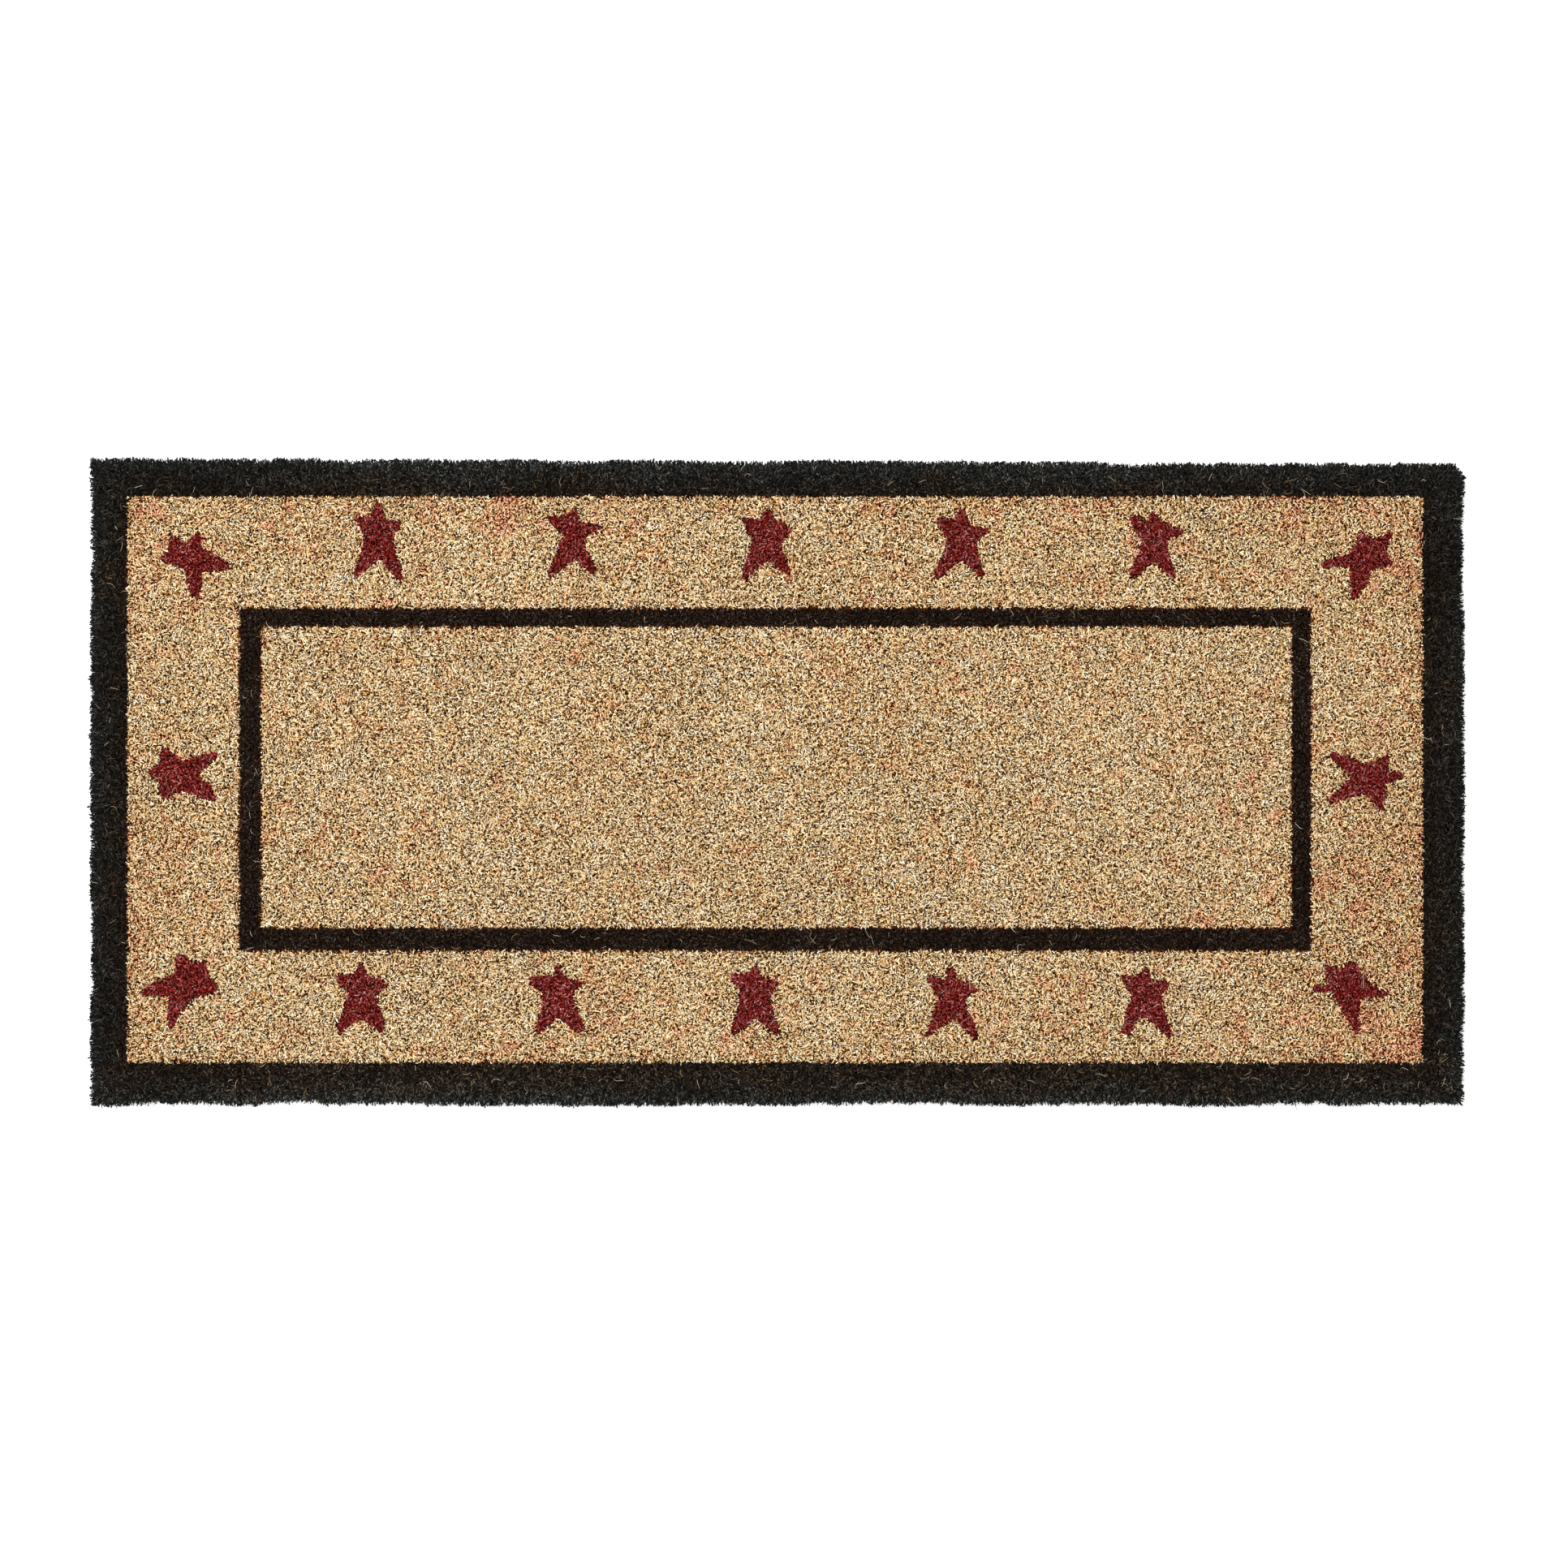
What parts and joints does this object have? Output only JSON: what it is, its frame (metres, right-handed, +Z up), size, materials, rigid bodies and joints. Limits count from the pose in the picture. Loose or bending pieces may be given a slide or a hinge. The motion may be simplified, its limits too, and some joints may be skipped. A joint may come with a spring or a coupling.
{
  "type": "door mat",
  "caption": "Rectangular coir door mat for wiping shoes: cut pile in a vinyl sheet, with a black border, a natural band of red stars, a thin dark line and a plain field.",
  "frame": {"origin": "on the floor, under the middle of the mat's box", "axes": "+X along the mat's long side to the right, +Y to the back edge, +Z up out of the pile"},
  "size_m": [0.9144, 0.4305, 0.015],
  "materials": {
    "vinyl": "calendered black-brown PVC sheet, faint cloth imprint underneath",
    "black_pile": "cut coir pile dyed black",
    "line_pile": "cut coir pile dyed brown-black",
    "natural_pile": "undyed cut coir pile, straw to brown",
    "red_pile": "cut coir pile dyed deep red"
  },
  "bodies": {
    "root": {"vinyl_base": "vinyl", "border_pile_back": "black_pile", "border_pile_front": "black_pile", "border_pile_left": "black_pile", "border_pile_right": "black_pile", "band_pile_back": "natural_pile", "band_pile_front": "natural_pile", "band_pile_left": "natural_pile", "band_pile_right": "natural_pile", "star_back_1": "red_pile", "star_back_2": "red_pile", "star_back_3": "red_pile", "star_back_4": "red_pile", "star_back_5": "red_pile", "star_back_6": "red_pile", "star_back_7": "red_pile", "star_front_1": "red_pile", "star_front_2": "red_pile", "star_front_3": "red_pile", "star_front_4": "red_pile", "star_front_5": "red_pile", "star_front_6": "red_pile", "star_front_7": "red_pile", "star_left": "red_pile", "star_right": "red_pile", "line_pile_back": "line_pile", "line_pile_front": "line_pile", "line_pile_left": "line_pile", "line_pile_right": "line_pile", "field_pile": "natural_pile"}
  },
  "joints": []
}
